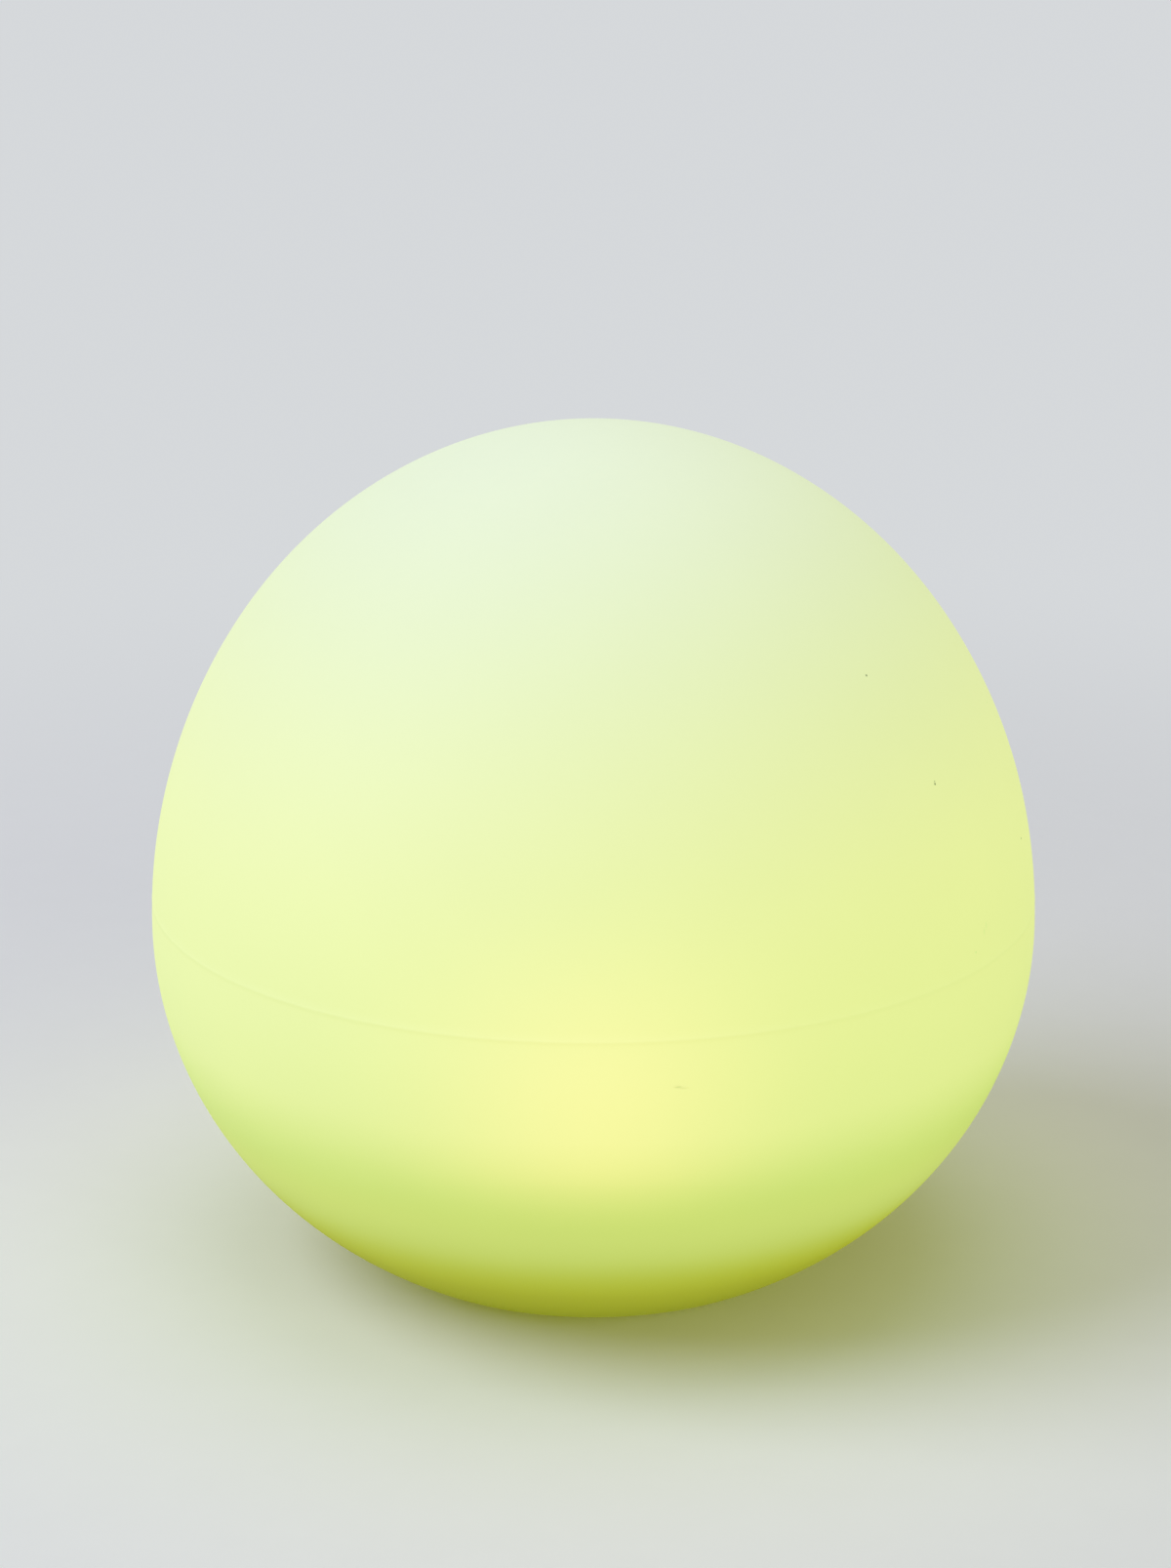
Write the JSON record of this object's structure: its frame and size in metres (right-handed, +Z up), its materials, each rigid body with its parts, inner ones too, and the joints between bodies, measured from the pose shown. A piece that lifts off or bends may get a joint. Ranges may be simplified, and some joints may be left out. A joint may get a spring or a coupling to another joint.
{
  "type": "garden globe light",
  "caption": "Egg-shaped translucent globe light for a garden, with a twist-lock rechargeable light module, push button and capped charging port in its flat underside.",
  "frame": {"origin": "on the ground under the middle of the globe, at the level of the rubber feet", "axes": "+Z up, the globe's axis of revolution; -Y is the side that the picture shows; the button and port are in the underside towards -Y"},
  "size_m": [0.2501, 0.2502, 0.24],
  "materials": {
    "milky_polyethylene": "satin rotomoulded polyethylene, translucent",
    "black_abs": "fine-grained moulded plastic",
    "black_rubber": "soft matt rubber",
    "grey_silicone": "soft silicone rubber",
    "button_silicone": "soft silicone rubber",
    "brass": "knurled brass",
    "zinc_steel": "zinc-plated steel",
    "nickel_strip": "nickel strip",
    "cell_sleeve": "shrink-sleeved battery cell",
    "red_lead": "insulated wire",
    "black_lead": "insulated wire",
    "white_lead": "insulated wire",
    "green_board": "solder-masked circuit board",
    "white_board": "white solder-masked aluminium-cored board",
    "chip_black": "moulded electronic component",
    "capacitor_can": "aluminium can",
    "ferrite": "ferrite",
    "housing_white": "moulded connector housing",
    "led_ceramic": "white LED package with a yellow phosphor cup",
    "clear_polycarbonate": "clear moulded plastic",
    "thermal_grey": "thermal pad"
  },
  "bodies": {
    "globe": {"globe_shell": "milky_polyethylene", "shell_inserts": "brass", "lock_ring": "black_abs", "lock_ring_gasket": "grey_silicone", "lock_ring_screws": "zinc_steel"},
    "light_module": {"base_tub": "black_abs", "base_o_ring": "black_rubber", "rubber_feet": "black_rubber", "battery_cell": "cell_sleeve", "battery_tabs": "nickel_strip", "battery_strap": "black_abs", "battery_strap_screws": "zinc_steel", "battery_lead_positive": "red_lead", "battery_lead_negative": "black_lead", "io_board": "green_board", "io_board_screws": "zinc_steel", "tact_switch": "chip_black", "charge_socket": "chip_black", "socket_pin": "brass", "plug_anchor": "grey_silicone", "status_led": "led_ceramic", "light_pipe": "clear_polycarbonate", "control_board": "green_board", "control_board_screws": "zinc_steel", "capacitors": "capacitor_can", "inductor": "ferrite", "control_chip": "chip_black", "led_drivers": "chip_black", "io_plugs": "housing_white", "io_leads": "white_lead", "led_plug": "housing_white", "led_leads": "white_lead", "deck_gasket": "grey_silicone", "deck_lid": "black_abs", "lead_grommet": "grey_silicone", "thermal_pad": "thermal_grey", "led_board": "white_board", "led_board_screws": "zinc_steel", "led_chips": "led_ceramic", "remote_receiver": "chip_black", "cover_seal": "grey_silicone", "led_cover": "clear_polycarbonate", "deck_screws": "zinc_steel"},
    "button": {"power_button": "button_silicone", "button_seal": "black_rubber", "switch_plunger": "housing_white"},
    "plug": {"port_plug": "grey_silicone"}
  },
  "joints": [
    {"name": "base_twist", "type": "hinge", "parent": "globe", "child": "light_module", "pos_m": [0, 0, 0], "axis": [0, 0, -1], "range_deg": [0, 60]},
    {"name": "button_press", "type": "slide", "parent": "light_module", "child": "button", "axis": [0, 0, 1], "range_m": [0, 0.0008], "stiffness_N_per_m": 2000},
    {"name": "plug_swing", "type": "hinge", "parent": "light_module", "child": "plug", "pos_m": [0.00835, -0.02983, 0.0025], "axis": [-0.3256, 0.9455, 0], "range_deg": [0, 120]}
  ]
}
